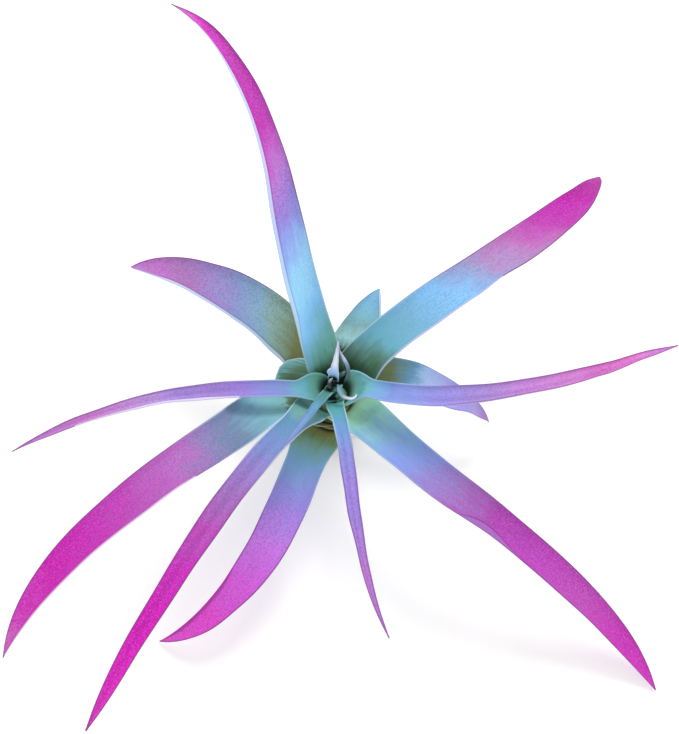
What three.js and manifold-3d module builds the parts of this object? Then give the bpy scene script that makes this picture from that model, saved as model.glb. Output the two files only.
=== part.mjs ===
// Air plant: an open rosette of long, cupped, tapering leaves that sheathe a short woody stem.
// Millimetres, +Z up. The origin is the centre of the stem's flat trimmed underside, on the ground.
// The plant rests on that flat and on the tips of two arching leaves.
import * as THREE from 'three';
import { mergeVertices } from 'three/addons/utils/BufferGeometryUtils.js';
import Module from 'manifold-3d';

const wasm = await Module();
wasm.setup();

const { degToRad, smoothstep, lerp } = THREE.MathUtils;

// Where the leaves grow from the stem, by their level from the innermost (0) outwards
const OUTERMOST_LEVEL = 14;
const ROOT_RADIUS_INNER = 0.5;
const ROOT_RADIUS_STEP = 0.9;
const ROOT_RADIUS_CLOSING = 0.035;
const ROOT_HEIGHT_INNER = 32;
const ROOT_HEIGHT_DROP = 18;
const ROOT_HEIGHT_BEND = 1.6;

// Leaf body: the sheath wraps the stem, then passes into the cupped blade
const SHEATH_FULL = 0.04;
const SWING_FULL = 0.2;
const SHEATH_THICKNESS = 0.6;
const BLADE_THICKNESS = 1.1;
const EDGE_THICKNESS = 0.6;
const TIP_WIDTH = 0.6;
const EVEN_CUP = 0.45;
const ROWS_LONG = 20;
const ROWS_SHORT = 12;
const ACROSS = 6;
const STEPS_PER_ROW = 4;

// Stem and the trimmed wiry roots at its foot
const STEM_CLEARANCE = 0.45;
const STEM_FOOT_RADIUS = 5.2;
const STEM_WAIST_HEIGHT = 6;
const STEM_SIDES = 20;
const ROOT_COUNT = 7;
const ROOT_SIDES = 5;
const ROOT_RADIUS = 0.55;
const ROOT_REACH = 9.5;
const FIRST_ROOT = degToRad(-5);
const ROOT_SPACING = degToRad(49);

// Each leaf from the heart outwards. level and azimuth: where it grows; a level between two whole
// ones keeps crowded sheaths apart. roll: tilt of the blade about its midrib. length and width: of
// the blade. sheath: its width at the stem. taper: high values stay wide for longer. opens: share of
// the length where the sheath has become a blade. narrows: share where its width has gone to the
// blade's. rise: pitch at the base, middle and tip. swing: turn of its heading at the same three
// places. cup: how far the margins tilt up at base and tip. swells: where one margin stands out or
// draws in, as its side, its place along the leaf, its reach and its height.
const LEAVES = [
  { name: 'heart_eye', color: 0xb9d6c6, level: 0, azimuth: 165, roll: 0,
    length: 7.9, width: 1.1, sheath: 0.6, taper: 1.6, opens: 0.24, narrows: 0.24,
    rise: [84, 92, 106], swing: [0, 0, 0], cup: [50, 50] },
  { name: 'heart_upright', color: 0xd2cdee, level: 1, azimuth: 82, roll: 0,
    length: 23.5, width: 14, sheath: 3, taper: 0.2, opens: 0.24, narrows: 0.24,
    rise: [94, 79, 74], swing: [0, -16, -3], cup: [70, 70],
    swells: [[1, 0.38, 0.09, 0.8], [-1, 0.38, 0.09, 0.4]] },
  { name: 'heart_front', color: 0x9aa6dc, level: 1, azimuth: 250, roll: 0,
    length: 49.5, width: 3, sheath: 3.2, taper: 2.2, opens: 0.24, narrows: 0.24,
    rise: [75, 40, 24], swing: [12, -3, -9], cup: [60, 60] },
  { name: 'heart_hook', color: 0xb4d8e0, level: 2, azimuth: 342, roll: 0,
    length: 21.5, width: 1.2, sheath: 1.6, taper: 2.5, opens: 0.24, narrows: 0.24,
    rise: [100, 45, -43], swing: [48, -77, 126], cup: [60, 60] },
  { name: 'heart_fold', color: 0xc4cfe4, level: 2, azimuth: 41, roll: 0,
    length: 23, width: 1.3, sheath: 2.4, taper: 2, opens: 0.24, narrows: 0.24,
    rise: [50, 95, 96], swing: [-29, -32, -40], cup: [70, 70] },
  { name: 'leaf_left', color: 0xa98bdc, level: 2.9, azimuth: 206, roll: 4,
    length: 105, width: 5.7, sheath: 10.5, taper: 2.9, opens: 0.18, narrows: 0.16,
    rise: [65, -8, -13], swing: [-2, -20, 0.5], cup: [60, 75],
    swells: [[-1, 0.05, 0.09, 1.6], [1, 0.54, 0.1, -0.7], [1, 0.86, 0.12, 0.4], [-1, 0.7, 0.12, -0.3]] },
  { name: 'leaf_lower', color: 0xa588dc, level: 4, azimuth: 271.5, roll: 0,
    length: 94, width: 4.5, sheath: 6.2, taper: 3.1, opens: 0.24, narrows: 0.23,
    rise: [69, 8, -22], swing: [19, 5, 26], cup: [50, 60],
    swells: [[-1, 0.05, 0.12, -0.9], [-1, 0.72, 0.12, -0.4]] },
  { name: 'leaf_right', color: 0xb07fd8, level: 5.1, azimuth: 343.5, roll: -7,
    length: 116.5, width: 7.2, sheath: 13, taper: 3.4, opens: 0.18, narrows: 0.15,
    rise: [67, 17, -6], swing: [-52, 15.5, 38.5], cup: [60, 75],
    swells: [[1, 0.04, 0.08, 2], [-1, 0.57, 0.2, -1.1], [1, 0.92, 0.1, 0.5]] },
  { name: 'leaf_top', color: 0xb884d6, level: 6.25, azimuth: 110, roll: 10,
    length: 134, width: 10.6, sheath: 12, taper: 3.2, opens: 0.24, narrows: 0.3,
    rise: [69, 35, -6], swing: [25, -4, 36.5], cup: [50, 75],
    swells: [[1, 0.6, 0.22, -1.2], [-1, 0.9, 0.1, 0.5]] },
  { name: 'leaf_lower_left', color: 0xb56cc8, level: 7.2, azimuth: 238.5, roll: 8,
    length: 145, width: 7.7, sheath: 14, taper: 6.2, opens: 0.24, narrows: 0.22,
    rise: [66, 8, -38], swing: [1.5, 0.5, -3.5], cup: [45, 65],
    swells: [[1, 0.07, 0.08, -2.2], [-1, 0.7, 0.2, -0.6], [1, 0.92, 0.12, 0.6]] },
  { name: 'leaf_lower_right', color: 0xb070c8, level: 8.15, azimuth: 312, roll: -22,
    length: 143, width: 11.9, sheath: 15, taper: 9, opens: 0.24, narrows: 0.28,
    rise: [66, -26, -18], swing: [-28, 16.5, -8.5], cup: [45, 60],
    swells: [[-1, 0.33, 0.09, 0.5], [-1, 0.5, 0.13, -1]] },
  { name: 'leaf_upper_right', color: 0xa58cd0, level: 9.3, azimuth: 43, roll: -19,
    length: 120.5, width: 13.8, sheath: 16, taper: 7.9, opens: 0.2, narrows: 0.17,
    rise: [62, 18, -43], swing: [-16.5, -14.5, 28.5], cup: [40, 45],
    swells: [[-1, 0.54, 0.07, -0.9], [-1, 0.9, 0.14, -0.9], [1, 0.95, 0.1, 0.7]] },
  { name: 'leaf_far_left', color: 0xb46cc4, level: 10.6, azimuth: 185.5, roll: 31,
    length: 139.5, width: 14.6, sheath: 22.5, taper: 7.6, opens: 0.1, narrows: 0.15,
    rise: [58, 3, -38], swing: [68.5, 34.5, 54], cup: [45, 60],
    swells: [[-1, 0.06, 0.05, 5], [-1, 0.11, 0.03, -2], [1, 0.48, 0.1, -1], [1, 0.92, 0.12, -0.7]] },
  { name: 'leaf_right_behind', color: 0x7fa6b4, level: 11.5, azimuth: 29.5, roll: 0,
    length: 56, width: 16, sheath: 16, taper: 1.9, opens: 0.24, narrows: 0.24,
    rise: [54, -6, -76], swing: [-11, -47.5, -18.5], cup: [45, 60],
    swells: [[-1, 0.76, 0.14, -0.9]] },
  { name: 'leaf_upper_left', color: 0x9a9cc8, level: 12.4, azimuth: 122.5, roll: 8,
    length: 83, width: 17.5, sheath: 12, taper: 3.8, opens: 0.24, narrows: 0.32,
    rise: [50, 10, -47], swing: [-1, 29.5, 25.5], cup: [55, 75],
    swells: [[1, 0.74, 0.2, -0.8]] },
  { name: 'leaf_lower_mid', color: 0xa08cce, level: 13.2, azimuth: 247, roll: -6,
    length: 98, width: 12.6, sheath: 16.5, taper: 3.9, opens: 0.24, narrows: 0.21,
    rise: [48, -16, -38.5], swing: [3, -7.5, -72.5], cup: [40, 50],
    swells: [[1, 0.68, 0.16, -0.6]] },
  { name: 'leaf_upper_behind', color: 0x86a8a6, level: 14, azimuth: 66, roll: -1,
    length: 38, width: 19, sheath: 20, taper: 2.2, opens: 0.24, narrows: 0.24,
    rise: [47, 26, -22], swing: [8, 3, 3], cup: [45, 60] },
];

function rootRadius(level) {
  return ROOT_RADIUS_INNER + ROOT_RADIUS_STEP * level - ROOT_RADIUS_CLOSING * level ** 2;
}

function rootHeight(level) {
  return ROOT_HEIGHT_INNER - ROOT_HEIGHT_DROP * (level / OUTERMOST_LEVEL) ** ROOT_HEIGHT_BEND;
}

// The value at s of a curve that takes the three given values at 0, 1/2 and 1
function threePoint([base, middle, tip], s) {
  return base * (1 - s) * (1 - 2 * s) + 4 * middle * s * (1 - s) + tip * s * (2 * s - 1);
}

function pitchAt(leaf, s) {
  return degToRad(threePoint(leaf.rise, s));
}

function headingAt(leaf, s) {
  return degToRad(leaf.azimuth + threePoint(leaf.swing, s) * smoothstep(s, 0, SWING_FULL));
}

// The midrib, walked outwards from the stem in short straight steps
function midribPoints(leaf, rows) {
  const azimuth = degToRad(leaf.azimuth);
  const radius = rootRadius(leaf.level);
  const point = new THREE.Vector3(radius * Math.cos(azimuth), radius * Math.sin(azimuth), 0);
  point.z = rootHeight(leaf.level);
  const steps = rows * STEPS_PER_ROW;
  const points = [point.clone()];
  for (let i = 0; i < steps; i++) {
    const s = (i + 0.5) / steps;
    const pitch = pitchAt(leaf, s);
    const heading = headingAt(leaf, s);
    const direction = new THREE.Vector3(
      Math.cos(pitch) * Math.cos(heading), Math.cos(pitch) * Math.sin(heading), Math.sin(pitch));
    point.addScaledVector(direction, leaf.length / steps);
    if ((i + 1) % STEPS_PER_ROW === 0) points.push(point.clone());
  }
  return points;
}

// The width on one side of the midrib, with the places where that margin swells
function halfWidth(leaf, sign, s) {
  const taper = leaf.width * (1 - s ** leaf.taper);
  const extra = (leaf.sheath - leaf.width) * (1 - smoothstep(s, SHEATH_FULL, leaf.narrows));
  let half = Math.max(TIP_WIDTH, taper + extra) / 2;
  for (const [side, at, reach, height] of leaf.swells ?? []) {
    if (side === sign) half += height * (1 - smoothstep(Math.abs(s - at), 0, reach));
  }
  return half;
}

// One row across the leaf: its upper points and its under points
function leafRow(leaf, midrib, s) {
  const pitch = pitchAt(leaf, s);
  const heading = headingAt(leaf, s);
  const sideways = new THREE.Vector3(-Math.sin(heading), Math.cos(heading), 0);
  const up = new THREE.Vector3(
    -Math.sin(pitch) * Math.cos(heading), -Math.sin(pitch) * Math.sin(heading), Math.cos(pitch));
  const roll = degToRad(leaf.roll) * smoothstep(s, 0.05, 1);
  const across = sideways.clone().multiplyScalar(Math.cos(roll)).addScaledVector(up, Math.sin(roll));
  const face = up.clone().multiplyScalar(Math.cos(roll)).addScaledVector(sideways, -Math.sin(roll));

  const blade = smoothstep(s, SHEATH_FULL, leaf.opens);
  const cup = degToRad(lerp(leaf.cup[0], leaf.cup[1], s));
  const middleThickness = lerp(lerp(SHEATH_THICKNESS, BLADE_THICKNESS, blade), EDGE_THICKNESS, s ** 4);
  const radius = Math.max(1, Math.hypot(midrib.x, midrib.y));
  const azimuth = Math.atan2(midrib.y, midrib.x);
  const tiltAt = (t) => cup * (EVEN_CUP * t + (1 - EVEN_CUP) * t ** 3);

  const half = ACROSS / 2;
  const upper = new Array(ACROSS + 1);
  const under = new Array(ACROSS + 1);
  for (const sign of [1, -1]) {
    const side = halfWidth(leaf, sign, s);
    const cupped = midrib.clone();
    for (let j = 0; j <= half; j++) {
      const t = (sign * j) / half;
      if (j > 0) {
        const tilt = tiltAt(t - (sign * 0.5) / half);
        const step = (sign * side) / half;
        cupped.addScaledVector(across, Math.cos(tilt) * step);
        cupped.addScaledVector(face, Math.sin(tilt) * step);
      }
      const turn = azimuth + (t * side) / radius;
      const wrapped = new THREE.Vector3(radius * Math.cos(turn), radius * Math.sin(turn), midrib.z);
      const wrappedOut = new THREE.Vector3(
        Math.sin(pitch) * Math.cos(turn), Math.sin(pitch) * Math.sin(turn), -Math.cos(pitch));
      const cuppedOut = across.clone().multiplyScalar(Math.sin(tiltAt(t)))
        .addScaledVector(face, -Math.cos(tiltAt(t)));
      const top = wrapped.lerp(cupped, blade);
      const out = wrappedOut.lerp(cuppedOut, blade).normalize();
      const thickness = lerp(middleThickness, EDGE_THICKNESS, t * t);
      upper[half + sign * j] = top;
      under[half + sign * j] = top.clone().addScaledVector(out, thickness);
    }
  }
  return { upper, under };
}

// A closed leaf: upper and under faces with blunt margins, base and tip
function leafGeometry(leaf) {
  const rows = leaf.length > 30 ? ROWS_LONG : ROWS_SHORT;
  const positions = [];
  midribPoints(leaf, rows).forEach((midrib, i) => {
    const { upper, under } = leafRow(leaf, midrib, i / rows);
    for (const point of [...upper, ...under]) positions.push(point.x, point.y, point.z);
  });
  const wide = ACROSS + 1;
  const upperAt = (i, j) => i * 2 * wide + j;
  const underAt = (i, j) => upperAt(i, j) + wide;
  const triangles = [];
  const quad = (a, b, c, d) => triangles.push(a, b, c, a, c, d);
  for (let i = 0; i < rows; i++) {
    for (let j = 0; j < ACROSS; j++) {
      quad(upperAt(i, j), upperAt(i + 1, j), upperAt(i + 1, j + 1), upperAt(i, j + 1));
      triangles.push(underAt(i, j), underAt(i + 1, j + 1), underAt(i + 1, j));
      triangles.push(underAt(i, j), underAt(i, j + 1), underAt(i + 1, j + 1));
    }
    quad(underAt(i, 0), underAt(i + 1, 0), upperAt(i + 1, 0), upperAt(i, 0));
    quad(upperAt(i, ACROSS), upperAt(i + 1, ACROSS), underAt(i + 1, ACROSS), underAt(i, ACROSS));
  }
  for (let j = 0; j < ACROSS; j++) {
    quad(upperAt(0, j), upperAt(0, j + 1), underAt(0, j + 1), underAt(0, j));
    quad(upperAt(rows, j + 1), upperAt(rows, j), underAt(rows, j), underAt(rows, j + 1));
  }
  const geometry = new THREE.BufferGeometry();
  geometry.setAttribute('position', new THREE.Float32BufferAttribute(positions, 3));
  geometry.setIndex(triangles);
  geometry.computeVertexNormals();
  return geometry;
}

// Joins closed geometries into one
function toSolid(geometry) {
  const bare = geometry.clone();
  bare.deleteAttribute('normal');
  bare.deleteAttribute('uv');
  const merged = mergeVertices(bare, 1e-4);
  return new wasm.Manifold(new wasm.Mesh({
    numProp: 3,
    vertProperties: new Float32Array(merged.attributes.position.array),
    triVerts: new Uint32Array(merged.index.array),
  }));
}

function joined(geometries) {
  const mesh = geometries.map(toSolid).reduce((whole, next) => whole.add(next)).getMesh();
  const geometry = new THREE.BufferGeometry();
  geometry.setAttribute('position', new THREE.Float32BufferAttribute(mesh.vertProperties, 3));
  geometry.setIndex(Array.from(mesh.triVerts));
  geometry.computeVertexNormals();
  return geometry;
}

// The woody stem: a blunt cone that stays just inside the leaf bases, cut flat underneath
function stemBody() {
  const profile = [
    new THREE.Vector2(0, 0),
    new THREE.Vector2(STEM_FOOT_RADIUS, 0),
    new THREE.Vector2(STEM_FOOT_RADIUS + 0.6, 1),
    new THREE.Vector2(STEM_FOOT_RADIUS + 0.2, STEM_WAIST_HEIGHT),
  ];
  for (let level = OUTERMOST_LEVEL; level > 0; level -= 2) {
    profile.push(new THREE.Vector2(rootRadius(level) - STEM_CLEARANCE, rootHeight(level)));
  }
  profile.push(new THREE.Vector2(0, ROOT_HEIGHT_INNER - 0.3));
  return new THREE.LatheGeometry(profile, STEM_SIDES).rotateX(Math.PI / 2);
}

// One short wiry root: it leaves the stem's foot, dips to the ground and ends in a blunt cut
function wiryRoot(index) {
  const azimuth = FIRST_ROOT + index * ROOT_SPACING + 0.12 * Math.sin(index * 2.4);
  const reach = ROOT_REACH + 1.5 * Math.sin(index * 1.7);
  const bend = 0.3 * Math.sin(index * 3.1);
  const at = (radius, turn, height) =>
    new THREE.Vector3(radius * Math.cos(azimuth + turn), radius * Math.sin(azimuth + turn), height);
  const path = new THREE.CatmullRomCurve3([
    at(4, 0, 3.4),
    at(6.8, 0, 3),
    at((6.8 + reach) / 2, bend * 0.4, 1.4),
    at(reach, bend, 0.9),
  ]);
  const outline = new THREE.Shape();
  for (let k = 0; k < ROOT_SIDES; k++) {
    const angle = (k * Math.PI * 2) / ROOT_SIDES;
    const x = ROOT_RADIUS * Math.cos(angle);
    const y = ROOT_RADIUS * Math.sin(angle);
    if (k === 0) outline.moveTo(x, y);
    else outline.lineTo(x, y);
  }
  outline.closePath();
  return new THREE.ExtrudeGeometry(outline, { steps: 8, extrudePath: path, bevelEnabled: false });
}

function piece(name, geometry, color, roughness) {
  const material = new THREE.MeshStandardMaterial({ color, roughness, metalness: 0 });
  const mesh = new THREE.Mesh(geometry, material);
  mesh.name = name;
  return mesh;
}

const plant = new THREE.Group();
const rootGeometries = Array.from({ length: ROOT_COUNT }, (_, index) => wiryRoot(index));
plant.add(piece('stem', joined([stemBody(), ...rootGeometries]), 0x7a634a, 0.9));
for (const leaf of LEAVES) plant.add(piece(leaf.name, leafGeometry(leaf), leaf.color, 0.6));

export default plant;
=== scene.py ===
# Air plant: the fine leaves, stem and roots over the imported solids, with floor, light and camera.
# Blender works in metres. The plant's own sizes are in millimetres, as in the part's source, and
# MM turns them into metres.
import math

import bpy
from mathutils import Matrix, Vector, noise


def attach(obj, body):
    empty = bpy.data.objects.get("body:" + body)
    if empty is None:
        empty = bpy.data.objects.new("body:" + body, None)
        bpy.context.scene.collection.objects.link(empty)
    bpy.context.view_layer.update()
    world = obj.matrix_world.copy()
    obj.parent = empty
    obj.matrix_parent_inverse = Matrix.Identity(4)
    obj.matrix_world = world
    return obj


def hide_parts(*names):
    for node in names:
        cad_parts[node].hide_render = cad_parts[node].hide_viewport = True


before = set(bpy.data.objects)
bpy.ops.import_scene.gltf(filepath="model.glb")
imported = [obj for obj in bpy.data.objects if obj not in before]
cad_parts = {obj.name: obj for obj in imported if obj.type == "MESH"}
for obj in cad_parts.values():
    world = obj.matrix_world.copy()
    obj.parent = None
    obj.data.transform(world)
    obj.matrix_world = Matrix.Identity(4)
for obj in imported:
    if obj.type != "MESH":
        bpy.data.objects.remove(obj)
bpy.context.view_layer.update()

MM = 0.001

# Stem
# A short woody stem that the leaves sheathe and hide, ringed with the torn bases of old leaves and
# trimmed flat underneath. It is dry bark below the leaves, and still green where they sheathe it.
# There the green glows faintly as painted light, and its very top is painted dark as painted shade.
STEM_FOOT_RADIUS = 5.2
STEM_WAIST_HEIGHT = 6
STEM_CLEARANCE = 0.45
STEM_FOOT_FLARE = 0.6
STEM_WAIST_DEPTH = 0.4
STEM_TOP_GAP = 0.3
BARK_SIDES = 72
BARK_ROWS_PER_MM = 2
OLD_LEAF_PITCH = 2.2
OLD_LEAF_LIP = 0.3
OLD_LEAF_FADE = 6
SHEATHED_FROM = 11
GREEN_FADE = 3

ROOT_RADIUS_INNER = 0.5
ROOT_RADIUS_STEP = 0.9
ROOT_RADIUS_CLOSING = 0.035
ROOT_HEIGHT_INNER = 32
ROOT_HEIGHT_DROP = 18
ROOT_HEIGHT_BEND = 1.6
OUTERMOST_LEVEL = 14


def leaf_base_radius(level):
    return ROOT_RADIUS_INNER + ROOT_RADIUS_STEP * level - ROOT_RADIUS_CLOSING * level**2


def leaf_base_height(level):
    return ROOT_HEIGHT_INNER - ROOT_HEIGHT_DROP * (level / OUTERMOST_LEVEL) ** ROOT_HEIGHT_BEND


def smooth(value, low, high):
    t = min(1, max(0, (value - low) / (high - low)))
    return t * t * (3 - 2 * t)


def between(a, b, t):
    return a + (b - a) * t


def paint(red, green, blue):
    """A colour as a screen shows it, 0 to 255, turned to the linear light that shaders use."""
    return tuple(((c / 255 + 0.055) / 1.055) ** 2.4 if c > 10 else c / 255 / 12.92
                 for c in (red, green, blue)) + (1,)


class Wire:
    """A value in a material. Python's operators on it add Math nodes."""

    def __init__(self, finish, socket):
        self.finish = finish
        self.socket = socket

    def maths(self, operation, first, second):
        return self.finish.node("ShaderNodeMath", {"operation": operation}, {0: first, 1: second})

    def __add__(self, other):
        return self.maths("ADD", self, other)

    def __radd__(self, other):
        return self.maths("ADD", other, self)

    def __sub__(self, other):
        return self.maths("SUBTRACT", self, other)

    def __rsub__(self, other):
        return self.maths("SUBTRACT", other, self)

    def __mul__(self, other):
        return self.maths("MULTIPLY", self, other)

    def __rmul__(self, other):
        return self.maths("MULTIPLY", other, self)


class Finish:
    """A material. node() adds any node to it, and what varies is fed to its Principled shader."""

    def __init__(self, name, **constants):
        self.material = bpy.data.materials.new(name)
        self.material.use_nodes = True
        self.tree = self.material.node_tree
        self.shader = self.tree.nodes["Principled BSDF"]
        for socket, value in constants.items():
            self.shader.inputs[socket.replace("_", " ")].default_value = value

    def node(self, kind, settings, inputs, output=0):
        made = self.tree.nodes.new(kind)
        for name, value in settings.items():
            if name == "stops":
                self.set_stops(made.color_ramp, value)
            else:
                setattr(made, name, value)
        for name, value in inputs.items():
            self.feed(made.inputs[name], value)
        return Wire(self, made.outputs[output])

    def set_stops(self, ramp, stops):
        ramp.elements[0].position, ramp.elements[0].color = stops[0]
        ramp.elements[1].position, ramp.elements[1].color = stops[-1]
        for position, color in stops[1:-1]:
            ramp.elements.new(position).color = color

    def feed(self, socket, value):
        if isinstance(value, Wire):
            self.tree.links.new(value.socket, socket)
        else:
            socket.default_value = value

    def place(self):
        return self.node("ShaderNodeTexCoord", {}, {}, "Object")

    def carried(self, name):
        """A number that the mesh holds at each vertex."""
        return self.node("ShaderNodeAttribute", {"attribute_name": name}, {}, "Fac")

    def grain(self, vector, scale, detail=2):
        return self.node("ShaderNodeTexNoise", {}, {"Vector": vector, "Scale": scale, "Detail": detail})

    def step(self, value, low, high):
        """0 below low, 1 above high, and smooth between."""
        return self.node("ShaderNodeMapRange", {"interpolation_type": "SMOOTHSTEP"},
                         {"Value": value, "From Min": low, "From Max": high})

    def mix(self, share, first, second, blend="MIX"):
        return self.node("ShaderNodeMix", {"data_type": "RGBA", "blend_type": blend},
                         {0: share, 6: first, 7: second}, 2)

    def bump(self, height, distance, strength=1):
        normal = self.node("ShaderNodeBump", {},
                           {"Height": height, "Distance": distance, "Strength": strength})
        self.feed(self.shader.inputs["Normal"], normal)


def piece(name, points, faces, finish, numbers=None):
    """A smooth mesh from points in millimetres, riding on the plant's one body.

    numbers are what its vertices hold for the material, a list for each name.
    """
    mesh = bpy.data.meshes.new(name)
    mesh.from_pydata([Vector(p) * MM for p in points], [], faces)
    mesh.shade_smooth()
    for key, values in (numbers or {}).items():
        mesh.attributes.new(key, "FLOAT", "POINT").data.foreach_set("value", values)
    mesh.materials.append(finish.material)
    made = bpy.data.objects.new(name, mesh)
    bpy.context.scene.collection.objects.link(made)
    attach(made, "root")
    return made


def rings_to_faces(rings, size):
    """Quads between successive closed rings of the same size, and a fan over each end."""
    faces = []
    for i in range(rings - 1):
        for j in range(size):
            k = (j + 1) % size
            faces.append((i * size + j, i * size + k, (i + 1) * size + k, (i + 1) * size + j))
    faces.append(tuple(reversed(range(size))))
    faces.append(tuple(range((rings - 1) * size, rings * size)))
    return faces


def stem_radius(height):
    """The stem's radius just inside the leaf bases, or of its foot below them."""
    if height < leaf_base_height(OUTERMOST_LEVEL):
        foot = (STEM_FOOT_RADIUS + STEM_FOOT_FLARE * smooth(height, 0, 1)
                - STEM_WAIST_DEPTH * smooth(height, 1, STEM_WAIST_HEIGHT))
        return between(foot, leaf_base_radius(OUTERMOST_LEVEL) - STEM_CLEARANCE,
                       smooth(height, STEM_WAIST_HEIGHT, leaf_base_height(OUTERMOST_LEVEL)))
    level = OUTERMOST_LEVEL
    while level > 0 and leaf_base_height(level) < height:
        level -= 0.1
    return leaf_base_radius(max(0, level)) - STEM_CLEARANCE


bark = Finish("dry_bark", Roughness=0.9, Emission_Strength=0.12)
bark_place = bark.place()
bark_fibres = bark.grain(bark_place, 900, 4)
bark_blotches = bark.grain(bark_place, 180)
bark_colour = bark.node("ShaderNodeValToRGB", {"stops": [
    (0.3, paint(58, 42, 30)), (0.55, paint(118, 92, 64)), (0.75, paint(176, 150, 112))]},
    {"Fac": bark_fibres * 0.6 + bark_blotches * 0.4})
# The near-black stop at the very top is painted shade in the heart's eye.
sheathed_colour = bark.node("ShaderNodeValToRGB", {"stops": [
    (0, paint(96, 92, 46)), (0.3, paint(110, 112, 52)), (0.78, paint(120, 136, 62)),
    (0.92, paint(140, 196, 170)), (0.985, paint(110, 176, 160)), (1, paint(20, 48, 38))]},
    {"Fac": bark.carried("up_the_stem") + (bark_blotches - 0.5) * 0.3})
# Painted light: where sheathed, the stem also glows faintly with its green.
bark_painted_glow = bark.mix(bark.carried("sheathed"), paint(0, 0, 0), sheathed_colour)
bark.feed(bark.shader.inputs["Emission Color"], bark_painted_glow)
bark_colour = bark.mix(bark.carried("sheathed"), bark_colour, sheathed_colour)
bark.feed(bark.shader.inputs["Base Color"], bark_colour)
bark.bump(bark_fibres + bark_blotches, 0.0004, 0.7)

stem_top = ROOT_HEIGHT_INNER - STEM_TOP_GAP
bark_points = []
bark_numbers = {"sheathed": [], "up_the_stem": []}
bark_rows = round(stem_top * BARK_ROWS_PER_MM)
for i in range(bark_rows + 1):
    height = stem_top * i / bark_rows
    for j in range(BARK_SIDES):
        turn = 2 * math.pi * j / BARK_SIDES
        rough = noise.noise(Vector((3 * math.cos(turn), 3 * math.sin(turn), height * 0.4)))
        ring = (height / OLD_LEAF_PITCH + rough * 0.5) % 1
        lip = OLD_LEAF_LIP * (1 - 0.8 * smooth(height, SHEATHED_FROM, SHEATHED_FROM + OLD_LEAF_FADE))
        sunk = 0.1 + lip * (1 - ring) + 0.12 * (1 + rough)
        radius = max(0.05, stem_radius(height)
                     - sunk * smooth(height, 0, 1) * smooth(stem_top - height, 0, 3))
        bark_points.append((radius * math.cos(turn), radius * math.sin(turn), height))
        bark_numbers["sheathed"].append(
            smooth(height + rough, SHEATHED_FROM, SHEATHED_FROM + GREEN_FADE))
        bark_numbers["up_the_stem"].append(smooth(height, SHEATHED_FROM, stem_top))
stem_bark = piece("stem_bark", bark_points, rings_to_faces(bark_rows + 1, BARK_SIDES), bark,
                  bark_numbers)
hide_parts("stem")

# Wiry roots
# Seven thin dry roots leave the stem's foot, dip to the ground and end where they were trimmed. Each
# is one kinked tube that thins towards its cut.
ROOT_COUNT = 7
ROOT_RADIUS = 0.5
ROOT_CUT_RADIUS = 0.32
ROOT_KINK = 0.3
ROOT_REACH = 9.5
FIRST_ROOT = math.radians(-5)
ROOT_SPACING = math.radians(49)
ROOT_ROWS = 40
ROOT_SIDES = 10


def threaded(knots, t):
    """The point at t, from 0 to 1, of a smooth curve through the knots."""
    reach = t * (len(knots) - 1)
    i = min(int(reach), len(knots) - 2)
    u = reach - i
    before = knots[max(0, i - 1)]
    after = knots[min(len(knots) - 1, i + 2)]
    leave = (knots[i + 1] - before) / 2
    arrive = (after - knots[i]) / 2
    return (knots[i] * (2 * u**3 - 3 * u**2 + 1) + leave * (u**3 - 2 * u**2 + u)
            + knots[i + 1] * (3 * u**2 - 2 * u**3) + arrive * (u**3 - u**2))


def root_path(index):
    """The middle line of one root, from inside the stem's foot to its cut."""
    azimuth = FIRST_ROOT + index * ROOT_SPACING + 0.12 * math.sin(index * 2.4)
    reach = ROOT_REACH + 1.5 * math.sin(index * 1.7)
    bend = 0.3 * math.sin(index * 3.1)
    knots = []
    for radius, turn, height in (
            (4, 0, 3.4), (6.8, 0, 3), ((6.8 + reach) / 2, bend * 0.4, 1.4), (reach, bend, 0.9)):
        knots.append(Vector((radius * math.cos(azimuth + turn), radius * math.sin(azimuth + turn),
                             height)))
    return [threaded(knots, i / ROOT_ROWS) for i in range(ROOT_ROWS + 1)]


def tube(path, radii, sides):
    """A closed tube round the path, with a radius for each of its points."""
    points = []
    for i, centre in enumerate(path):
        ahead = (path[min(i + 1, len(path) - 1)] - path[max(i - 1, 0)]).normalized()
        side = ahead.cross(Vector((0, 0, 1))).normalized()
        up = side.cross(ahead)
        for j in range(sides):
            turn = 2 * math.pi * j / sides
            points.append(centre + radii[i] * (math.cos(turn) * side + math.sin(turn) * up))
    return points, rings_to_faces(len(path), sides)


wiry = Finish("dry_root", Roughness=0.8)
wiry_fibres = wiry.grain(wiry.place(), 1400, 3)
wiry_colour = wiry.node("ShaderNodeValToRGB", {"stops": [
    (0.3, paint(52, 38, 30)), (0.7, paint(122, 98, 76))]}, {"Fac": wiry_fibres})
wiry.feed(wiry.shader.inputs["Base Color"], wiry_colour)
wiry.bump(wiry_fibres, 0.0002, 0.6)

root_points = []
root_faces = []
for index in range(ROOT_COUNT):
    path = root_path(index)
    radii = [between(ROOT_RADIUS, ROOT_CUT_RADIUS, i / ROOT_ROWS)
             * (1 + 0.12 * noise.noise(Vector((i * 0.45, index, 0))))
             for i in range(ROOT_ROWS + 1)]
    for i, centre in enumerate(path):
        kink = Vector((noise.noise(Vector((i * 0.3, index, 5))),
                       noise.noise(Vector((i * 0.3, index, 9))), 0))
        path[i] = centre + ROOT_KINK * kink * smooth(i / ROOT_ROWS, 0, 0.3)
    points, faces = tube(path, radii, ROOT_SIDES)
    first = len(root_points)
    root_points += points
    root_faces += [tuple(first + corner for corner in face) for face in faces]
piece("wiry_roots", root_points, root_faces, wiry)

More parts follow.
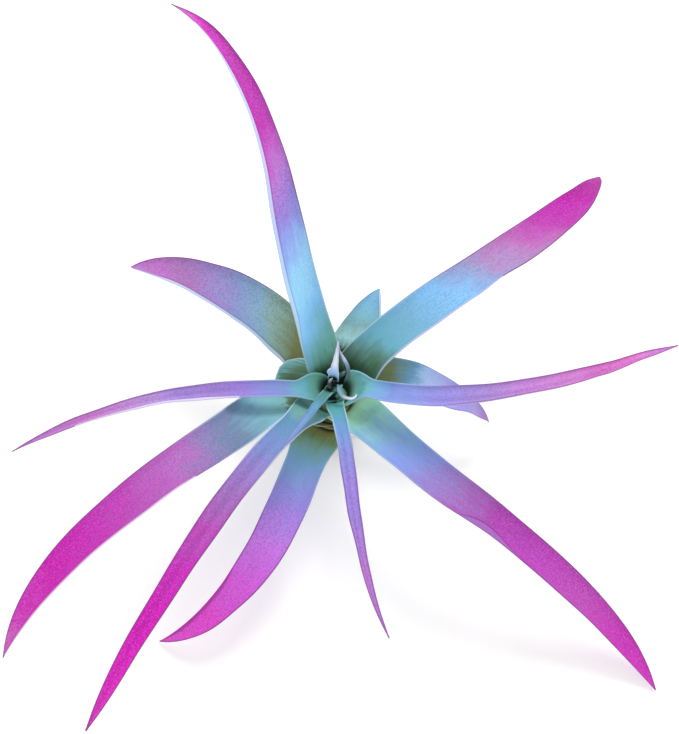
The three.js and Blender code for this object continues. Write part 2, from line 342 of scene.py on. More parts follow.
# Short outer leaves
# Two short broad leaves behind the others. Like every leaf here each is one stiff cupped blade that
# grows from a sheath round the stem, dusted with fine silvery scales that give it a soft grain.
SHEATH_FULL = 0.04
SWING_FULL = 0.2
SHEATH_THICKNESS = 0.6
BLADE_THICKNESS = 1.1
EDGE_THICKNESS = 0.34
TIP_WIDTH = 0.16
EVEN_CUP = 0.45
ROWS_PER_MM = 0.8
FEWEST_ROWS = 48
HALF_ACROSS = 9
UNEVEN_SLOW = 0.016
UNEVEN_QUICK = 0.01
RIPPLE_HEIGHT = 0.08
MARGIN_ROUNDING = 0.3

# How fine the skin's patterns are. Clouds, streaks and veins count for each millimetre of blade, and
# STREAK_STRETCH draws streaks and veins out along it. Scales and frost count for each metre of space.
# The shifts, in millimetres, give each leaf and each face a pattern of its own.
CLOUD_GRAIN = 0.12
STREAK_GRAIN = 0.9
STREAK_STRETCH = 0.08
VEIN_GRAIN = 3.2
SCALE_GRAIN = 2600
FROST_GRAIN = 1700
LEAF_SHIFT = 7
UNDER_SHIFT = 40
WHOLE_LEAF = 2
NOWHERE = 9

# Painted shade: a near-black green for the dark of the funnel and the heart.
PAINTED_SHADE_GREEN = paint(10, 34, 24)
MOSS = paint(78, 108, 74)
OLIVE = paint(118, 122, 62)
PALE_MOSS = paint(124, 138, 92)
CELADON = paint(124, 176, 168)
SAGE = paint(104, 152, 140)
TEAL = paint(84, 150, 144)
SKY = paint(136, 198, 248)
PERIWINKLE = paint(128, 152, 218)
LAVENDER = paint(156, 132, 216)
HEATHER = paint(158, 124, 194)
ORCHID = paint(188, 124, 210)
PLUM = paint(182, 102, 188)
FUCHSIA = paint(196, 80, 190)
MAGENTA = paint(206, 52, 188)
TIP_PINK = paint(212, 110, 196)
SILVER = paint(218, 216, 238)
PALE_SKY = paint(196, 218, 242)
RIM = paint(190, 212, 226)
# Painted shade along margins, beside strips and on the crease line.
PAINTED_RIM_SHADE = paint(116, 52, 126)
FLECK = paint(240, 214, 248)
SHADOW_TINT = paint(146, 132, 160)
# Painted shade for the midrib's channel.
CHANNEL_SHADE_TINT = paint(206, 190, 214)


def three_point(values, s):
    """The value at s of a curve that takes the three given values at 0, 1/2 and 1."""
    base, middle, tip = values
    return base * (1 - s) * (1 - 2 * s) + 4 * middle * s * (1 - s) + tip * s * (2 * s - 1)


def pitch_at(leaf, s):
    return math.radians(three_point(leaf["rise"], s))


def heading_at(leaf, s):
    return math.radians(leaf["azimuth"] + three_point(leaf["swing"], s) * smooth(s, 0, SWING_FULL))


def midrib_points(leaf, rows):
    """The midrib, walked outwards from the stem in short straight steps."""
    azimuth = math.radians(leaf["azimuth"])
    radius = leaf_base_radius(leaf["level"])
    point = Vector((radius * math.cos(azimuth), radius * math.sin(azimuth),
                    leaf_base_height(leaf["level"])))
    points = [point.copy()]
    for i in range(rows):
        pitch = pitch_at(leaf, (i + 0.5) / rows)
        heading = heading_at(leaf, (i + 0.5) / rows)
        direction = Vector((math.cos(pitch) * math.cos(heading), math.cos(pitch) * math.sin(heading),
                            math.sin(pitch)))
        point = point + direction * leaf["length"] / rows
        points.append(point.copy())
    return points


def width_at(leaf, s):
    """The width at s, a little uneven along the blade as on a grown leaf."""
    grown = smooth(s, SHEATH_FULL, leaf["opens"])
    seed = leaf["azimuth"]
    uneven = 1 + UNEVEN_SLOW * math.sin(11 * s + seed) + UNEVEN_QUICK * math.sin(27 * s + 2 * seed)
    taper = leaf["width"] * (1 - s ** leaf["taper"]) * between(1, uneven, grown * (1 - s**6))
    extra = (leaf["sheath"] - leaf["width"]) * (1 - smooth(s, SHEATH_FULL, leaf["narrows"]))
    return max(TIP_WIDTH, taper + extra)


def half_width(leaf, sign, s):
    """The width on one side of the midrib, with the places where that margin stands out or draws in."""
    half = width_at(leaf, s) / 2
    for side, at, reach, height in leaf.get("swells", ()):
        if side == sign:
            half += height * (1 - smooth(abs(s - at), 0, reach))
    return max(TIP_WIDTH / 2, half)


def leaf_ring(leaf, midrib, s):
    """One closed ring round the leaf at s, as (point, across from -1 to 1, share on the under face)."""
    pitch = pitch_at(leaf, s)
    heading = heading_at(leaf, s)
    side = Vector((-math.sin(heading), math.cos(heading), 0))
    up = Vector((-math.sin(pitch) * math.cos(heading), -math.sin(pitch) * math.sin(heading),
                 math.cos(pitch)))
    roll = math.radians(leaf["roll"]) * smooth(s, 0.05, 1)
    across = side * math.cos(roll) + up * math.sin(roll)
    face = up * math.cos(roll) - side * math.sin(roll)

    blade = smooth(s, SHEATH_FULL, leaf["opens"])
    cup = math.radians(between(leaf["cup"][0], leaf["cup"][1], s))
    thin_tip = s**4
    middle = between(between(SHEATH_THICKNESS, BLADE_THICKNESS, blade), TIP_WIDTH, thin_tip)
    edge = between(EDGE_THICKNESS, TIP_WIDTH, thin_tip)
    radius = max(1, math.hypot(midrib.x, midrib.y))
    azimuth = math.atan2(midrib.y, midrib.x)

    def tilt_at(t):
        return cup * (EVEN_CUP * t + (1 - EVEN_CUP) * t**3)

    upper = {}
    under = {}
    for sign in (1, -1):
        half = half_width(leaf, sign, s)
        cupped = midrib.copy()
        for j in range(HALF_ACROSS + 1):
            t = sign * j / HALF_ACROSS
            if j > 0:
                tilt = tilt_at(t - sign * 0.5 / HALF_ACROSS)
                step = sign * half / HALF_ACROSS
                cupped = cupped + across * math.cos(tilt) * step + face * math.sin(tilt) * step
            turn = azimuth + t * half / radius
            wrapped = Vector((radius * math.cos(turn), radius * math.sin(turn), midrib.z))
            wrapped_out = Vector((math.sin(pitch) * math.cos(turn), math.sin(pitch) * math.sin(turn),
                                  -math.cos(pitch)))
            cupped_out = across * math.sin(tilt_at(t)) - face * math.cos(tilt_at(t))
            ripple = (RIPPLE_HEIGHT * blade * (1 - thin_tip) * t * t
                      * math.sin(40 * s + leaf["azimuth"] + 2 * sign))
            out = wrapped_out.lerp(cupped_out, blade).normalized()
            upper[sign * j] = wrapped.lerp(cupped, blade) - out * ripple
            under[sign * j] = upper[sign * j] + out * between(middle, edge, t * t)
    order = list(range(-HALF_ACROSS, HALF_ACROSS + 1))
    ring = [(upper[j], j / HALF_ACROSS, 0) for j in order]
    rim = (upper[HALF_ACROSS] + under[HALF_ACROSS]) / 2
    ring.append((rim + (rim - upper[HALF_ACROSS - 1]).normalized() * edge * MARGIN_ROUNDING, 1, 0.5))
    ring += [(under[j], j / HALF_ACROSS, 1) for j in reversed(order)]
    rim = (upper[-HALF_ACROSS] + under[-HALF_ACROSS]) / 2
    ring.append((rim + (rim - upper[1 - HALF_ACROSS]).normalized() * edge * MARGIN_ROUNDING, -1, 0.5))
    return ring


def strip_at(leaf, across, half, from_edge, s):
    """How far into the strip along one margin a point is: 0 at the margin, 1 where the strip ends."""
    side, wide, starts, ends = leaf.get("strip", (1, 0, 0, 1))
    here = min(wide, 0.45 * half) * smooth(s, starts, starts + 0.12) * (1 - smooth(s, ends - 0.25, ends))
    if across * side <= 0 or here < 0.08:
        return NOWHERE
    return min(NOWHERE, from_edge / here)


def crease_at(leaf, across, half, s):
    """Millimetres inwards of the crease where one margin has folded over, and below 0 on the fold."""
    if "crease" not in leaf:
        return NOWHERE
    side, starts, ends, depth = leaf["crease"]
    along = (s - starts) / (ends - starts)
    if not 0 < along < 1:
        return NOWHERE
    crease = 1 - depth * math.sin(math.pi * along**0.8)
    return (crease - across * side) * half


def leaf_finish(leaf, silver, sparkle):
    """The skin of one leaf: bands of colour along the blade, margins, under face, veins and scales,
    with painted shade at the base, in the channel, along the margins and in the crease, and a
    painted glow.
    """
    finish = Finish(leaf["name"] + "_skin", Roughness=0.6, Specular_IOR_Level=0.2,
                    Emission_Strength=leaf.get("painted_glow", 0))
    along = finish.carried("along")
    across = finish.carried("across")
    across_mm = finish.carried("across_mm")
    along_mm = finish.carried("along_mm")
    edge_mm = finish.carried("edge_mm")
    under = finish.carried("under")
    place = finish.place()
    blade_place = finish.node("ShaderNodeCombineXYZ", {}, {"X": across_mm, "Y": along_mm, "Z": 0})
    streak_place = finish.node("ShaderNodeCombineXYZ", {},
                               {"X": across_mm, "Y": along_mm * STREAK_STRETCH, "Z": under})

    clouds = finish.grain(blade_place, CLOUD_GRAIN, 3)
    streaks = finish.grain(streak_place, STREAK_GRAIN, 2)
    veins = finish.grain(streak_place, VEIN_GRAIN, 1)
    scales = finish.grain(place, SCALE_GRAIN, 2)
    frost = finish.grain(place, FROST_GRAIN, 3)

    coloured = finish.step(along, 0.15, 0.5)
    mingled = ((clouds - 0.5) * 0.12 + (streaks - 0.5) * 0.08
               + (frost - 0.5) * coloured * (0.14 * sparkle))
    colour = finish.node("ShaderNodeValToRGB", {"stops": leaf["bands"]},
                         {"Fac": along + across * leaf.get("skew", 0) + mingled})
    dark = (1 - finish.step(frost, 0.34, 0.6)) * (coloured * (0.5 * sparkle) + 0.05)
    dark = dark + (1 - finish.step(veins, 0.3, 0.6)) * 0.12
    colour = finish.mix(dark * 0.6, colour, SHADOW_TINT, "MULTIPLY")
    # Painted shade: a darker channel along the midrib.
    if leaf.get("channelled"):
        painted_channel_shade = finish.step(across, -0.7, -0.25) * (1 - finish.step(across, -0.1, 0.3))
        painted_channel_shade = painted_channel_shade * finish.step(along, 0.2, 0.4)
        colour = finish.mix(painted_channel_shade * (0.3 + streaks * 0.3), colour, CHANNEL_SHADE_TINT, "MULTIPLY")
    flecks = finish.step(scales, 0.5, 0.68) * (coloured * 0.9 + 0.1)
    colour = finish.mix(flecks * (0.1 * sparkle), colour, FLECK)

    near_base = 1 - finish.step(along, 0.25, 0.5)
    pale_margin = ((1 - finish.step(edge_mm, 0.08, 0.34)) * (near_base * 0.5 + 0.05)
                   * finish.step(along, 0.03, 0.1))
    colour = finish.mix(pale_margin * leaf.get("rim", 0.6), colour, RIM)
    # Painted shade: a thin dark line along the margins away from the base, where the rim is in shade.
    painted_margin_shade = (1 - finish.step(edge_mm, 0.08, 0.38)) * (1 - near_base) * (0.7 * sparkle)
    colour = finish.mix(painted_margin_shade, colour, PAINTED_RIM_SHADE)
    if "strip" in leaf:
        strip = finish.carried("strip")
        # Painted shade: a dark line just inside the strip.
        painted_strip_shade = finish.step(strip, 0.8, 1) * (1 - finish.step(strip, 1, 1.35))
        colour = finish.mix(painted_strip_shade * 0.35, colour, PAINTED_RIM_SHADE)
        colour = finish.mix((1 - finish.step(strip, 0.75, 0.95)) * 0.85, colour,
                            leaf.get("strip_colour", PALE_SKY))
    if "crease" in leaf:
        # The folded margin is painted greyer, and a dark line of painted shade marks the crease.
        crease = finish.carried("crease")
        folded = 1 - finish.step(crease, -0.1, 0.1)
        colour = finish.mix(folded * 0.45, colour, HEATHER)
        line = finish.step(crease, -0.4, 0) * (1 - finish.step(crease, 0, 0.4))
        colour = finish.mix(line * 0.9, colour, PAINTED_RIM_SHADE)
    colour = finish.mix(finish.step(under, 0.4, 1) * silver, colour, SILVER)
    # Painted shade: each leaf's base darkens to near-black where it lies in the dark of the funnel.
    colour = finish.mix(finish.carried("shade"), colour, PAINTED_SHADE_GREEN)
    finish.feed(finish.shader.inputs["Base Color"], colour)
    # Painted light: the leaf glows in its own colour towards its base, for light seeping through it.
    if "painted_glow" in leaf:
        painted_glow_to = leaf.get("painted_glow_to", WHOLE_LEAF)
        painted_glow_share = 1 - finish.step(along, 0.5 * painted_glow_to, painted_glow_to)
        finish.feed(finish.shader.inputs["Emission Color"], finish.mix(painted_glow_share, paint(0, 0, 0), colour))
    finish.feed(finish.shader.inputs["Roughness"], 0.5 + scales * 0.25)
    finish.bump(scales * 0.5 + veins * 0.5, 0.0001, 0.5)
    return finish


def grow(leaf, silver=0.45, sparkle=1.0, lit_under=0.75):
    """The fine leaf in place of its plain solid.

    silver is how pale its under face is, sparkle how strongly its scales and the painted shade of its
    margins show, and lit_under how far the under face is spared the painted shade at its base.
    """
    rows = max(FEWEST_ROWS, round(leaf["length"] * ROWS_PER_MM))
    points = []
    numbers = {key: [] for key in ("along", "across", "along_mm", "across_mm", "edge_mm", "under", "shade")}
    for key in ("strip", "crease"):
        if key in leaf:
            numbers[key] = []
    for i, midrib in enumerate(midrib_points(leaf, rows)):
        s = i / rows
        for point, across, under in leaf_ring(leaf, midrib, s):
            half = half_width(leaf, 1 if across > 0 else -1, s)
            from_edge = (1 - abs(across)) * half
            points.append(point)
            numbers["along"].append(s)
            numbers["across"].append(across)
            numbers["along_mm"].append(s * leaf["length"] + LEAF_SHIFT * leaf["level"])
            numbers["across_mm"].append(across * half + UNDER_SHIFT * under)
            numbers["edge_mm"].append(from_edge)
            numbers["under"].append(under)
            # Painted shade for the dark of the funnel, lighter on the under face.
            painted_funnel_shade = 1 - smooth(s * leaf["length"], 0.15 * leaf["shade"], leaf["shade"])
            numbers["shade"].append(painted_funnel_shade * (1 - lit_under * under))
            if "strip" in leaf:
                numbers["strip"].append(strip_at(leaf, across, half, from_edge, s))
            if "crease" in leaf:
                numbers["crease"].append(crease_at(leaf, across, half, s))
    size = len(points) // (rows + 1)
    faces = [tuple(reversed(face)) for face in rings_to_faces(rows + 1, size)]
    made = piece(leaf["name"] + "_blade", points, faces, leaf_finish(leaf, silver, sparkle), numbers)
    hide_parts(leaf["name"])


# A leaf's values. name to swells: its shape, as in the part's source, with two finer swells on
# leaf_right. shade: how many millimetres of its base lie in the dark of the funnel, painted there
# as painted shade. glow: how strongly it glows in its own colour, a painted light standing in
# for light that seeps through it, as far along as painted_glow_to. rim: how pale its margins are near the
# base. bands: its colours along the blade, which skew slants across it. channelled: whether the
# midrib has a darker channel, a painted shade. strip: a strip along one margin, as its side, its
# width in millimetres, its start and its end. crease: where one margin has folded over, as its
# side, its start, its end and its depth. Most values from azimuth to swing were fitted by a
# program to points read off the photograph, and were then rounded and adjusted. The bands were
# set from the photograph's colours along each leaf, then shifted to suit the light.
SHORT_LEAVES = [
    dict(name="leaf_upper_behind", level=14, azimuth=66, roll=-1,
         length=38, width=19, sheath=20, taper=2.2, opens=0.24, narrows=0.24,
         rise=(47, 26, -22), swing=(8, 3, 3), cup=(45, 60),
         shade=3,
         strip=(-1, 0.9, 0.45, 1.2), strip_colour=RIM,
         # The near-black band at 0.28 is painted shade, where the base lies deep among the inner leaves.
         bands=[(0, MOSS), (0.15, MOSS), (0.28, paint(16, 30, 22)), (0.4, paint(46, 72, 50)),
                (0.44, paint(128, 172, 162)), (0.5, paint(172, 224, 222)),
                (0.6, paint(130, 174, 174)), (0.7, paint(124, 182, 196)),
                (0.85, paint(116, 172, 204)), (1, paint(116, 170, 204))]),
    dict(name="leaf_right_behind", level=11.5, azimuth=29.5, roll=0,
         length=56, width=16, sheath=16, taper=1.9, opens=0.24, narrows=0.24,
         rise=(54, -6, -76), swing=(-11, -47.5, -18.5), cup=(45, 60),
         swells=((-1, 0.76, 0.14, -0.9),),
         shade=14,
         bands=[(0, MOSS), (0.16, PALE_MOSS), (0.27, PALE_MOSS), (0.34, paint(122, 160, 162)),
                (0.4, paint(118, 176, 208)), (0.48, paint(190, 218, 255)),
                (0.56, paint(186, 196, 248)), (0.68, paint(164, 156, 232)),
                (0.8, paint(172, 160, 220)), (0.93, HEATHER), (1, ORCHID)]),
]
for leaf in SHORT_LEAVES:
    grow(leaf, sparkle=0.4)

# Long leaves
# Seven long leaves make the rosette's star. They arch out and down, and two of them all but touch
# the ground with their tips. Each runs from green at the sheath through blue and violet to pink.
LONG_LEAVES = [
    dict(name="leaf_lower_mid", level=13.2, azimuth=247, roll=-6,
         length=98, width=12.6, sheath=16.5, taper=3.9, opens=0.24, narrows=0.21,
         rise=(48, -16, -38.5), swing=(3, -7.5, -72.5), cup=(40, 50),
         swells=((1, 0.68, 0.16, -0.6),),
         shade=3.5, painted_glow=0.15, painted_glow_to=0.09,
         # Its strip is dark: painted shade along a fold of the margin towards the tip.
         strip=(-1, 1, 0.58, 1.2), strip_colour=paint(180, 50, 166),
         bands=[(0, OLIVE), (0.05, paint(132, 140, 84)), (0.1, paint(134, 170, 126)),
                (0.16, paint(134, 186, 186)), (0.22, paint(134, 180, 220)),
                (0.3, paint(148, 154, 222)), (0.38, paint(162, 140, 226)),
                (0.48, paint(202, 130, 232)), (0.6, paint(218, 104, 230)),
                (0.8, paint(234, 76, 214)), (1, paint(230, 84, 214))]),
    dict(name="leaf_upper_left", level=12.4, azimuth=122.5, roll=8,
         length=83, width=17.5, sheath=12, taper=3.8, opens=0.24, narrows=0.32,
         rise=(50, 10, -47), swing=(-1, 29.5, 25.5), cup=(55, 75),
         swells=((1, 0.74, 0.2, -0.8),),
         shade=12, skew=0.05,
         strip=(1, 2.2, 0.14, 0.98),
         bands=[(0, MOSS), (0.1, MOSS), (0.15, OLIVE), (0.22, paint(116, 124, 76)),
                (0.34, paint(138, 174, 162)), (0.4, paint(138, 176, 202)),
                (0.5, paint(140, 156, 206)), (0.6, paint(162, 136, 200)),
                (0.7, paint(172, 120, 184)), (0.84, paint(192, 116, 198)), (1, ORCHID)]),
    dict(name="leaf_far_left", level=10.6, azimuth=185.5, roll=31,
         length=139.5, width=14.6, sheath=22.5, taper=7.6, opens=0.1, narrows=0.15,
         rise=(58, 3, -38), swing=(68.5, 34.5, 54), cup=(45, 60),
         swells=((-1, 0.06, 0.05, 5), (-1, 0.11, 0.03, -2), (1, 0.48, 0.1, -1),
                 (1, 0.92, 0.12, -0.7)),
         shade=6, rim=1.4, skew=-0.03,
         strip=(1, 1, 0.42, 1.2), strip_colour=paint(232, 196, 232),
         bands=[(0, OLIVE), (0.04, paint(104, 118, 66)), (0.07, paint(84, 110, 74)),
                (0.1, paint(106, 146, 120)), (0.12, paint(136, 194, 194)),
                (0.2, paint(128, 184, 196)), (0.3, paint(108, 132, 162)),
                (0.38, paint(140, 124, 180)), (0.46, PLUM), (0.55, paint(184, 80, 182)),
                (0.64, paint(196, 50, 182)), (0.8, paint(208, 20, 182)),
                (0.92, paint(216, 62, 194)), (1, TIP_PINK)]),
    dict(name="leaf_upper_right", level=9.3, azimuth=43, roll=-19,
         length=120.5, width=13.8, sheath=16, taper=7.9, opens=0.2, narrows=0.17,
         rise=(62, 18, -43), swing=(-16.5, -14.5, 28.5), cup=(40, 45),
         swells=((-1, 0.54, 0.07, -0.9), (-1, 0.9, 0.14, -0.9), (1, 0.95, 0.1, 0.7)),
         shade=17, rim=1.1, skew=0.04,
         strip=(-1, 0.8, 0.06, 0.6), strip_colour=paint(190, 200, 236),
         bands=[(0, MOSS), (0.1, paint(84, 124, 92)), (0.15, SAGE), (0.2, paint(116, 186, 206)),
                (0.3, paint(124, 184, 216)), (0.42, SKY), (0.48, paint(146, 172, 218)),
                (0.56, paint(174, 142, 194)), (0.64, paint(186, 106, 182)),
                (0.72, paint(184, 56, 170)), (0.82, paint(184, 8, 166)),
                (0.92, paint(168, 0, 146)), (1, paint(170, 40, 150))]),
    dict(name="leaf_lower_right", level=8.15, azimuth=312, roll=-22,
         length=143, width=11.9, sheath=15, taper=9, opens=0.24, narrows=0.28,
         rise=(66, -26, -18), swing=(-28, 16.5, -8.5), cup=(45, 60),
         swells=((-1, 0.33, 0.09, 0.5), (-1, 0.5, 0.13, -1)),
         shade=5, painted_glow=0.4, painted_glow_to=0.12, skew=-0.02,
         crease=(-1, 0.41, 0.565, 0.64),
         bands=[(0, paint(120, 156, 126)), (0.05, paint(144, 184, 146)),
                (0.08, paint(142, 194, 170)), (0.12, paint(150, 206, 194)),
                (0.2, paint(128, 172, 206)), (0.26, PERIWINKLE), (0.33, paint(144, 130, 200)),
                (0.39, paint(158, 112, 186)), (0.47, paint(170, 64, 172)),
                (0.6, paint(188, 64, 186)), (0.75, paint(190, 74, 184)),
                (0.88, paint(200, 48, 182)), (1, MAGENTA)]),
    dict(name="leaf_lower_left", level=7.2, azimuth=238.5, roll=8,
         length=145, width=7.7, sheath=14, taper=6.2, opens=0.24, narrows=0.22,
         rise=(66, 8, -38), swing=(1.5, 0.5, -3.5), cup=(45, 65),
         swells=((1, 0.07, 0.08, -2.2), (-1, 0.7, 0.2, -0.6), (1, 0.92, 0.12, 0.6)),
         shade=6, painted_glow=0.25, painted_glow_to=0.09, rim=1.3, channelled=True,
         bands=[(0, TEAL), (0.1, CELADON), (0.2, paint(98, 148, 180)), (0.3, paint(118, 140, 196)),
                (0.38, paint(142, 126, 196)), (0.46, paint(160, 106, 184)),
                (0.55, paint(184, 78, 184)), (0.63, paint(202, 42, 188)),
                (0.76, paint(220, 12, 192)), (0.9, paint(236, 34, 204)),
                (1, paint(226, 60, 200))]),
    dict(name="leaf_top", level=6.25, azimuth=110, roll=10,
         length=134, width=10.6, sheath=12, taper=3.2, opens=0.24, narrows=0.3,
         rise=(69, 35, -6), swing=(25, -4, 36.5), cup=(50, 75),
         swells=((1, 0.6, 0.22, -1.2), (-1, 0.9, 0.1, 0.5)),
         shade=11, rim=1.1, skew=0.05,
         strip=(1, 1.6, 0.1, 1),
         bands=[(0, MOSS), (0.06, paint(108, 160, 130)), (0.09, paint(124, 186, 168)),
                (0.13, paint(130, 196, 206)), (0.2, paint(144, 208, 254)),
                (0.26, paint(160, 222, 255)), (0.32, paint(160, 220, 255)),
                (0.39, paint(150, 172, 242)), (0.46, LAVENDER), (0.52, ORCHID), (0.6, FUCHSIA),
                (0.68, paint(188, 50, 172)), (0.82, paint(184, 50, 168)), (0.9, MAGENTA),
                (1, TIP_PINK)]),
]
for leaf in LONG_LEAVES:
    grow(leaf)

# Slim leaves
# Three narrow, deeply cupped leaves grow nearer the heart, one to each side and one towards the
# viewer. They are younger, and end in a paler pink.
SLIM_LEAVES = [
    dict(name="leaf_right", level=5.1, azimuth=343.5, roll=-7,
         length=116.5, width=7.2, sheath=13, taper=3.4, opens=0.18, narrows=0.15,
         rise=(67, 17, -6), swing=(-52, 15.5, 38.5), cup=(60, 75),
         swells=((1, 0.04, 0.08, 2), (-1, 0.57, 0.2, -1.1), (1, 0.92, 0.1, 0.5),
                 (-1, 0.81, 0.04, 0.3), (-1, 0.89, 0.05, -0.4)),
         shade=6.5, painted_glow=0.22, painted_glow_to=0.1, channelled=True,
         bands=[(0, MOSS), (0.03, paint(124, 176, 152)), (0.07, paint(112, 180, 178)),
                (0.1, paint(132, 202, 208)), (0.15, paint(128, 188, 222)), (0.23, PERIWINKLE),
                (0.3, paint(144, 158, 224)), (0.4, paint(156, 148, 226)),
                (0.5, paint(172, 142, 212)), (0.6, paint(194, 134, 212)),
                (0.7, paint(206, 130, 206)), (0.8, paint(206, 106, 190)),
                (0.9, paint(222, 126, 204)), (1, ORCHID)]),
    dict(name="leaf_lower", level=4, azimuth=271.5, roll=0,
         length=94, width=4.5, sheath=6.2, taper=3.1, opens=0.24, narrows=0.23,
         rise=(69, 8, -22), swing=(19, 5, 26), cup=(50, 60),
         swells=((-1, 0.05, 0.12, -0.9), (-1, 0.72, 0.12, -0.4)),
         shade=6, painted_glow=0.15, painted_glow_to=0.1, rim=1.2, channelled=True,
         bands=[(0, TEAL), (0.08, paint(112, 190, 180)), (0.15, paint(96, 176, 180)),
                (0.22, paint(98, 160, 190)), (0.3, paint(112, 156, 206)),
                (0.4, paint(138, 144, 212)), (0.5, LAVENDER), (0.62, LAVENDER), (0.78, ORCHID),
                (1, ORCHID)]),
    dict(name="leaf_left", level=2.9, azimuth=206, roll=4,
         length=105, width=5.7, sheath=10.5, taper=2.9, opens=0.18, narrows=0.16,
         rise=(65, -8, -13), swing=(-2, -20, 0.5), cup=(60, 75),
         swells=((-1, 0.05, 0.09, 1.6), (1, 0.54, 0.1, -0.7), (1, 0.86, 0.12, 0.4),
                 (-1, 0.7, 0.12, -0.3)),
         shade=5.5, channelled=True,
         strip=(1, 1.4, 0.3, 0.85), strip_colour=paint(222, 218, 244),
         bands=[(0, TEAL), (0.04, paint(110, 166, 146)), (0.08, paint(100, 168, 164)),
                (0.12, paint(110, 174, 188)), (0.2, paint(126, 142, 202)),
                (0.3, paint(150, 126, 208)), (0.4, paint(158, 128, 206)),
                (0.5, paint(174, 144, 220)), (0.6, paint(196, 152, 218)),
                (0.75, paint(204, 128, 206)), (1, ORCHID)]),
]
for leaf in SLIM_LEAVES:
    grow(leaf, sparkle=0.8)

# Heart leaves
# The five youngest leaves stand in the dark funnel. They are soft, narrow and pale, and curl as
# they open. Their lower parts are painted near-black, a painted shade, and all but heart_front
# glow faintly in their own colour, a painted light.
LILAC = paint(226, 224, 255)
MINT = paint(96, 152, 152)
PALE_OLIVE = paint(156, 186, 156)
WHITE_TIP = paint(222, 236, 246)
NEAR_WHITE = paint(246, 248, 255)
HEART_LEAVES = [
    dict(name="heart_fold", level=2, azimuth=41, roll=0,
         length=23, width=1.3, sheath=2.4, taper=2, opens=0.24, narrows=0.24,
         rise=(50, 95, 96), swing=(-29, -32, -40), cup=(70, 70),
         shade=8, painted_glow=0.12,
         bands=[(0, PAINTED_SHADE_GREEN), (0.35, PAINTED_SHADE_GREEN), (0.55, paint(92, 138, 146)), (0.7, paint(168, 190, 214)),
                (0.8, LILAC), (1, LILAC)]),
    dict(name="heart_hook", level=2, azimuth=342, roll=0,
         length=21.5, width=1.2, sheath=1.6, taper=2.5, opens=0.24, narrows=0.24,
         rise=(100, 45, -43), swing=(48, -77, 126), cup=(60, 60),
         shade=5, painted_glow=0.12,
         bands=[(0, TEAL), (0.45, MINT), (0.7, paint(120, 168, 178)), (0.86, WHITE_TIP),
                (1, WHITE_TIP)]),
    dict(name="heart_front", level=1, azimuth=250, roll=0,
         length=49.5, width=3, sheath=3.2, taper=2.2, opens=0.24, narrows=0.24,
         rise=(75, 40, 24), swing=(12, -3, -9), cup=(60, 60),
         shade=14,
         bands=[(0, MINT), (0.2, TEAL), (0.3, paint(82, 144, 132)), (0.4, paint(82, 144, 152)),
                (0.5, paint(94, 158, 188)), (0.6, paint(98, 150, 184)),
                (0.7, paint(110, 154, 202)), (0.85, paint(122, 150, 208)),
                (1, paint(128, 142, 208))]),
    dict(name="heart_upright", level=1, azimuth=82, roll=0,
         length=23.5, width=14, sheath=3, taper=0.2, opens=0.24, narrows=0.24,
         rise=(94, 79, 74), swing=(0, -16, -3), cup=(70, 70),
         swells=((1, 0.38, 0.09, 0.8), (-1, 0.38, 0.09, 0.4)),
         shade=5, painted_glow=0.3,
         bands=[(0, PAINTED_SHADE_GREEN), (0.26, PAINTED_SHADE_GREEN), (0.32, paint(150, 190, 230)),
                (0.42, paint(196, 218, 252)), (0.55, NEAR_WHITE), (1, LILAC)]),
    dict(name="heart_eye", level=0, azimuth=165, roll=0,
         length=7.9, width=1.1, sheath=0.6, taper=1.6, opens=0.24, narrows=0.24,
         rise=(84, 92, 106), swing=(0, 0, 0), cup=(50, 50),
         shade=3, painted_glow=0.2,
         bands=[(0, PAINTED_SHADE_GREEN), (0.62, PAINTED_SHADE_GREEN), (0.74, PALE_OLIVE), (0.9, paint(206, 224, 206)),
                (1, paint(206, 224, 206))]),
]
for leaf in HEART_LEAVES:
    grow(leaf, silver=0.12, sparkle=0.3, lit_under=0.1)

# Floor
# A plain near-white sheet under the plant.
FLOOR_SIDE = 4000
paper = Finish("white_paper", Roughness=0.9, Emission_Color=(1, 1, 1, 1), Emission_Strength=0.16)
paper_fibres = paper.grain(paper.place(), 60)
paper_colour = paper.mix(paper_fibres, paint(250, 250, 246), paint(246, 247, 243))
paper.feed(paper.shader.inputs["Base Color"], paper_colour)
floor_corners = [(x * FLOOR_SIDE / 2, y * FLOOR_SIDE / 2, 0)
                 for x, y in ((-1, -1), (1, -1), (1, 1), (-1, 1))]
floor_mesh = bpy.data.meshes.new("floor")
floor_mesh.from_pydata([Vector(p) * MM for p in floor_corners], [], [(0, 1, 2, 3)])
floor_mesh.materials.append(paper.material)
floor = bpy.data.objects.new("floor", floor_mesh)
bpy.context.scene.collection.objects.link(floor)

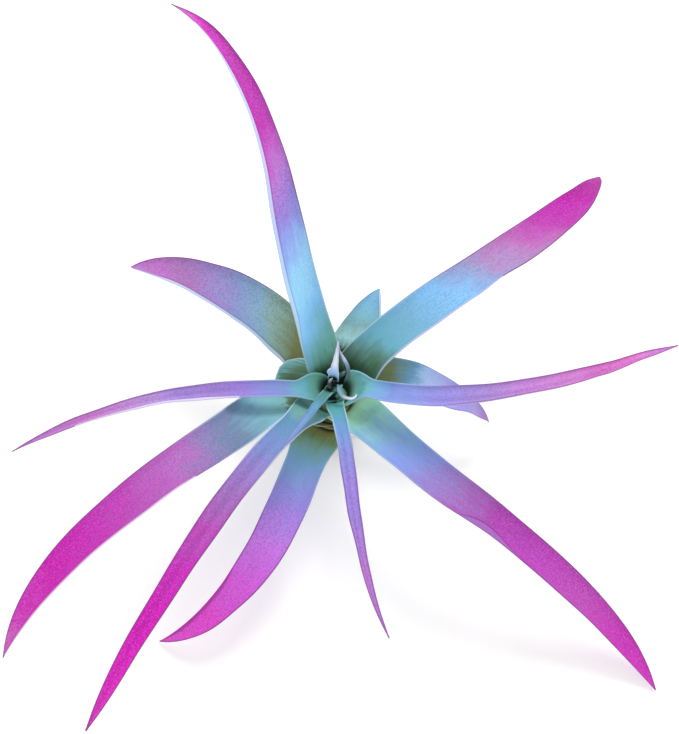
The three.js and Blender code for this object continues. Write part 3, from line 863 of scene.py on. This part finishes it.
# Light
# A bright white surround, and one broad soft lamp high behind on the right, so that shadows are
# faint, neutral and fall to the front left of each leaf.
SURROUND_STRENGTH = 0.86
LAMP_PLACE = (160, 320, 640)
LAMP_AIM = (0, 0, 30)
LAMP_SIZE = 300
LAMP_POWER = 2.3

bpy.context.scene.view_settings.view_transform = "Standard"
world = bpy.data.worlds.new("surround")
world.use_nodes = True
world.node_tree.nodes["Background"].inputs["Color"].default_value = (1, 1, 1, 1)
world.node_tree.nodes["Background"].inputs["Strength"].default_value = SURROUND_STRENGTH
bpy.context.scene.world = world


def soft_lamp(name, place, size, power):
    lamp = bpy.data.lights.new(name, "AREA")
    lamp.shape = "DISK"
    lamp.size = size * MM
    lamp.energy = power
    made = bpy.data.objects.new(name, lamp)
    made.location = Vector(place) * MM
    made.rotation_euler = (Vector(LAMP_AIM) - Vector(place)).to_track_quat("-Z", "Y").to_euler()
    bpy.context.scene.collection.objects.link(made)


soft_lamp("key", LAMP_PLACE, LAMP_SIZE, LAMP_POWER)

# Camera
# It looks down on the rosette from the front, with the dark eye of the heart where the photograph
# has it.
FRAME_PIXELS = (679, 734)
EYE_PIXEL = (333, 381)
EYE_HEIGHT = 38
MM_PER_PIXEL = 0.3
CAMERA_ELEVATION = 65
CAMERA_DISTANCE = 650
SENSOR_MM = 36

elevation = math.radians(CAMERA_ELEVATION)
back = Vector((0, -math.cos(elevation), math.sin(elevation)))
upward = Vector((0, math.sin(elevation), math.cos(elevation)))
rightward = Vector((1, 0, 0))
aim = (Vector((0, 0, EYE_HEIGHT)) + rightward * (FRAME_PIXELS[0] / 2 - EYE_PIXEL[0]) * MM_PER_PIXEL
       + upward * (EYE_PIXEL[1] - FRAME_PIXELS[1] / 2) * MM_PER_PIXEL)
camera_data = bpy.data.cameras.new("camera")
camera_data.sensor_width = SENSOR_MM
camera_data.lens = CAMERA_DISTANCE / MM_PER_PIXEL * SENSOR_MM / max(FRAME_PIXELS)
camera = bpy.data.objects.new("camera", camera_data)
camera.location = (aim + back * CAMERA_DISTANCE) * MM
camera.rotation_euler = (-back).to_track_quat("-Z", "Y").to_euler()
bpy.context.scene.collection.objects.link(camera)
bpy.context.scene.camera = camera
